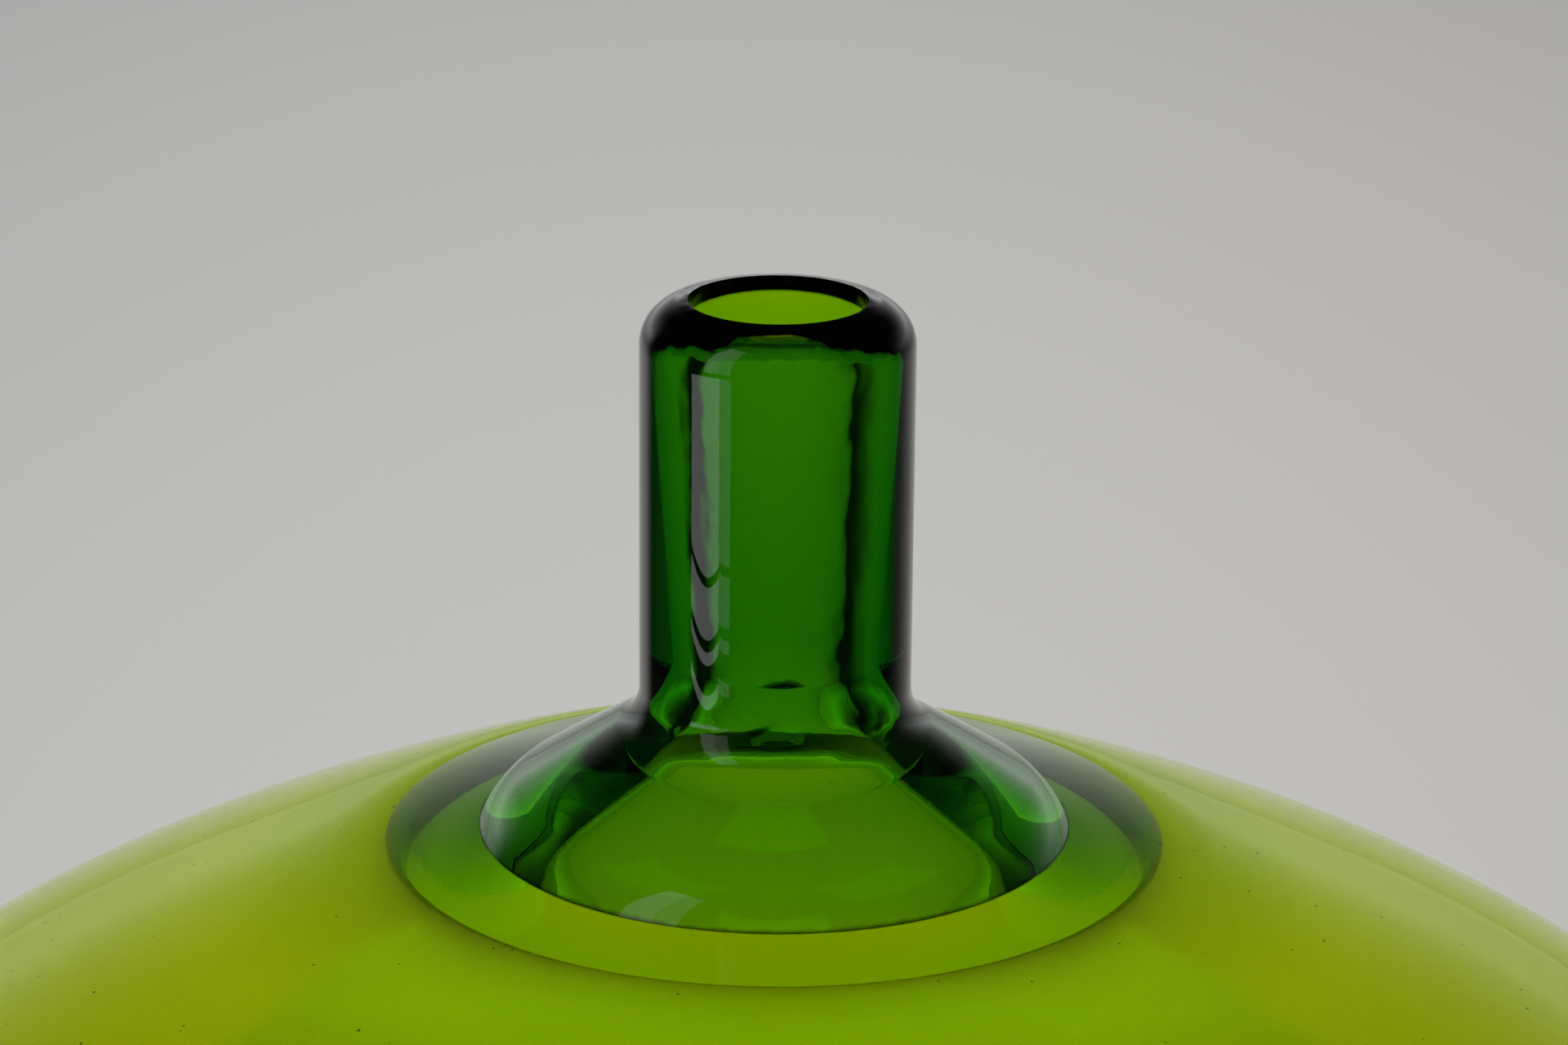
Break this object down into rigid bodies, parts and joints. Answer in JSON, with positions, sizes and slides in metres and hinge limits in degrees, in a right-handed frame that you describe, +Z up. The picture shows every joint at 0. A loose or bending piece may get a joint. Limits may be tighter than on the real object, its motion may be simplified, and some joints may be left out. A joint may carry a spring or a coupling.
{
  "type": "glass vase",
  "caption": "Green blown glass bottle vase: a wide globe of cased yellow-green glass with a slim, thick-walled dark green neck, a rolled lip and a sloping collar.",
  "frame": {"origin": "middle of the foot, on the surface that the vase stands on", "axes": "+Z up along the axis of the neck and globe; +X and +Y are equal, because the vase is round"},
  "size_m": [0.308, 0.308, 0.3217],
  "materials": {
    "neck_glass": "fire-polished",
    "casing_glass": "glossy",
    "overlay_glass": "glossy",
    "lining_glass": "glossy",
    "base_glass": "ground foot ring, polished elsewhere"
  },
  "bodies": {
    "root": {"neck": "neck_glass", "outer_casing": "casing_glass", "yellow_overlay": "overlay_glass", "green_lining": "lining_glass", "base_pad": "base_glass"}
  },
  "joints": []
}
